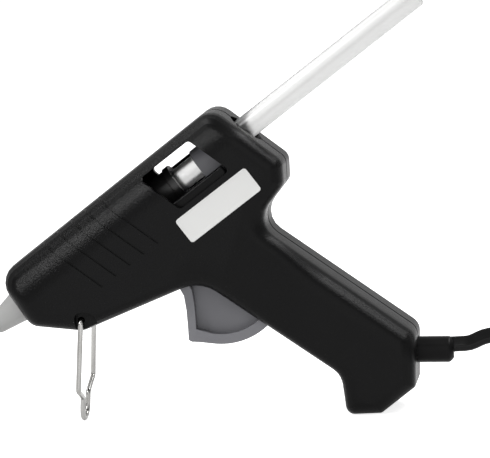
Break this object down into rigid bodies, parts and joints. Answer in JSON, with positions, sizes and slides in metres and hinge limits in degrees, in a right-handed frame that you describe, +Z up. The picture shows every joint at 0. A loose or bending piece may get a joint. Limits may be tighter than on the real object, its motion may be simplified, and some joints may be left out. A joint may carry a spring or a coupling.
{
  "type": "hot glue gun",
  "caption": "Small hand-held hot glue applicator with a trigger feed, a loaded glue stick, a folding wire stand and a coiled mains cord.",
  "frame": {"origin": "on the table, under the middle of the gun's own box without its cord", "axes": "+X to the back of the gun, away from the nozzle; +Y to the gun's right; +Z up, as the gun stands nose down on its wire stand and the toe of its handle"},
  "size_m": [0.2931, 0.0443, 0.1252],
  "materials": {
    "black_plastic": "fine satin grain",
    "grey_plastic": "satin",
    "grey_silicone": "matt",
    "black_silicone": "satin",
    "glue": "milky, slightly clear",
    "steel": "plated",
    "brass": "plain",
    "aluminium": "as cast",
    "ceramic": "matt fired",
    "black_vinyl": "glossy"
  },
  "bodies": {
    "housing": {"housing_left": "black_plastic", "housing_right": "black_plastic", "housing_screw_1": "steel", "housing_screw_2": "steel", "housing_screw_3": "steel", "housing_screw_4": "steel", "nozzle": "brass", "nozzle_cover": "grey_silicone", "melt_chamber": "aluminium", "heating_ceramic": "ceramic", "upper_electrode": "brass", "lower_electrode": "brass", "feed_sleeve": "black_silicone", "sleeve_clamp": "steel", "trigger_pin": "steel", "return_spring": "steel", "strain_relief": "black_vinyl", "live_lead": "black_vinyl", "neutral_lead": "black_vinyl", "cord": "black_vinyl", "cord_coil": "black_vinyl", "coil_tie": "black_plastic", "plug_body": "black_vinyl", "plug_pin_1": "brass", "plug_pin_2": "brass"},
    "trigger": {"trigger": "grey_plastic"},
    "carriage": {"carriage": "grey_plastic"},
    "glue_stick": {"glue_stick": "glue"},
    "stand": {"stand": "steel"}
  },
  "joints": [
    {"name": "trigger_pivot", "type": "hinge", "parent": "housing", "child": "trigger", "pos_m": [0.00316, 0, 0.04297], "axis": [0, -1, 0], "range_deg": [0, 20], "stiffness_Nm_per_rad": 0.05, "springref_deg": -20.05},
    {"name": "carriage_slide", "type": "slide", "parent": "housing", "child": "carriage", "axis": [-0.8207, 0, -0.5714], "range_m": [0, 0.0071], "deforming": ["return_spring"]},
    {"name": "stick_feed", "type": "slide", "parent": "housing", "child": "glue_stick", "axis": [-0.8207, 0, -0.5714], "range_m": [0, 0.0071]},
    {"name": "stand_fold", "type": "hinge", "parent": "housing", "child": "stand", "pos_m": [-0.03854, 0, 0.03215], "axis": [0, -1, 0], "range_deg": [0, 70]}
  ],
  "couplings": [
    {"joint": "carriage_slide", "follows": "trigger_pivot", "m_per_rad": 0.0202},
    {"joint": "stick_feed", "follows": "trigger_pivot", "m_per_rad": 0.0202}
  ]
}
